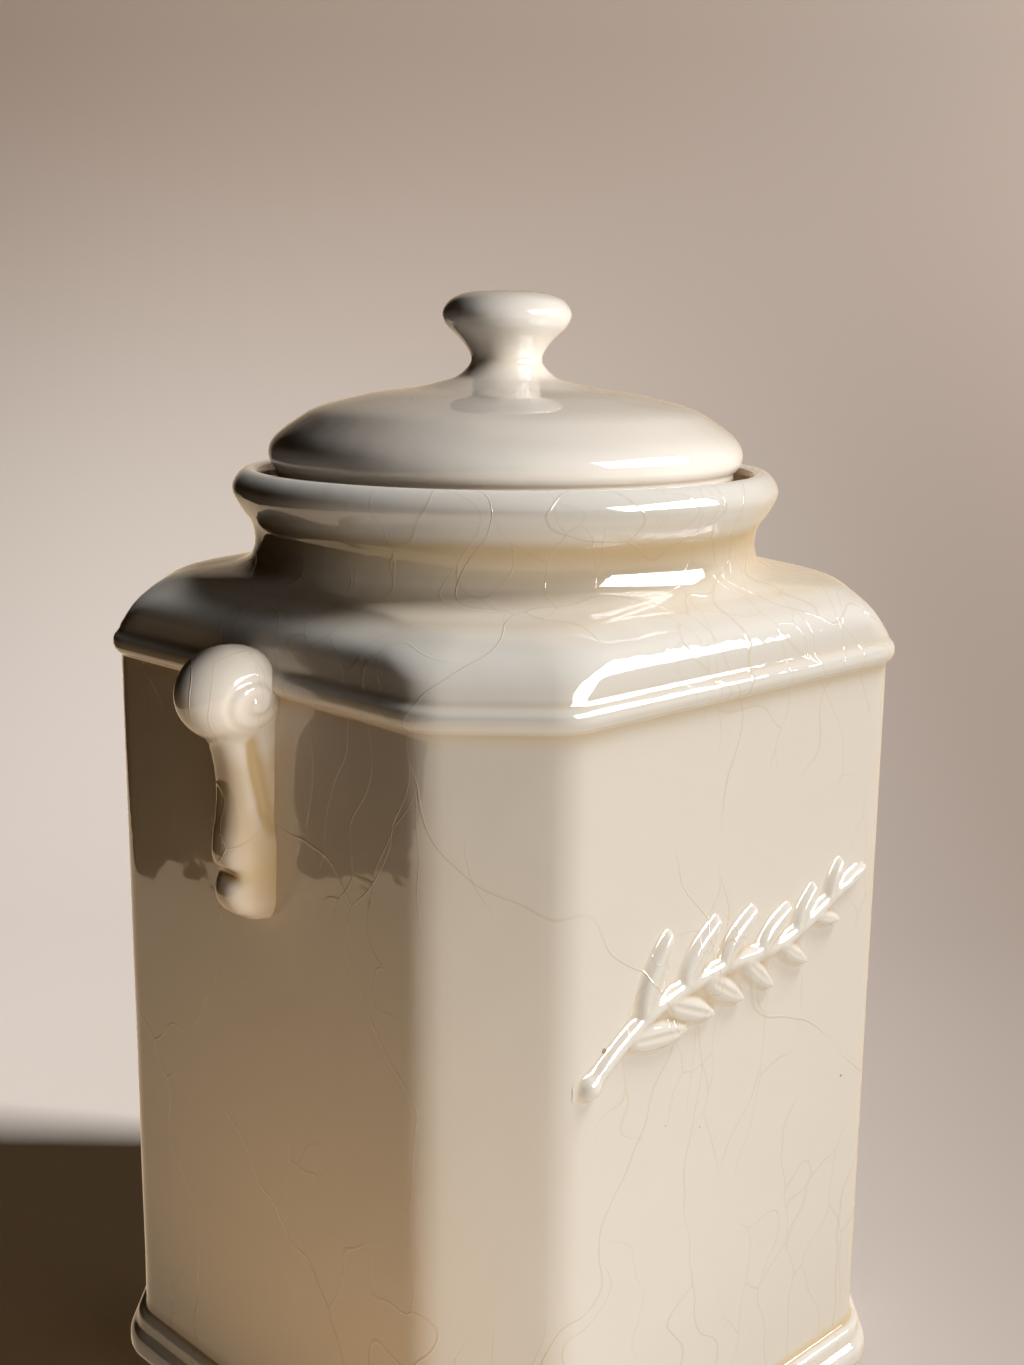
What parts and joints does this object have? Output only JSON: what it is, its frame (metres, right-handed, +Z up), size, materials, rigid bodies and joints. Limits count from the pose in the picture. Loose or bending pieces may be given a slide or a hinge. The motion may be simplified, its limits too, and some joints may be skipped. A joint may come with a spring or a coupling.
{
  "type": "biscuit jar",
  "caption": "Glazed ceramic biscuit jar, square with cut corners, round neck, lift-off domed lid with a knob, scroll lugs at the sides and a raised leaf sprig.",
  "frame": {"origin": "middle of the foot, at the height of the table that the jar stands on", "axes": "+Z up; -Y is the front with the raised sprig; the scroll lugs are on the -X and +X faces"},
  "size_m": [0.193, 0.1624, 0.2749],
  "materials": {
    "cream_glaze": "warm cream gloss glaze, finely crazed, slightly darker where it pools"
  },
  "bodies": {
    "jar": {"jar_body": "cream_glaze", "lug_left": "cream_glaze", "lug_right": "cream_glaze", "front_relief": "cream_glaze"},
    "lid": {"lid_dome": "cream_glaze", "lid_flange": "cream_glaze", "lid_knob": "cream_glaze"}
  },
  "joints": [
    {"name": "lid_lift", "type": "slide", "parent": "jar", "child": "lid", "axis": [0, 0, 1], "range_m": [0, 0.12]}
  ]
}
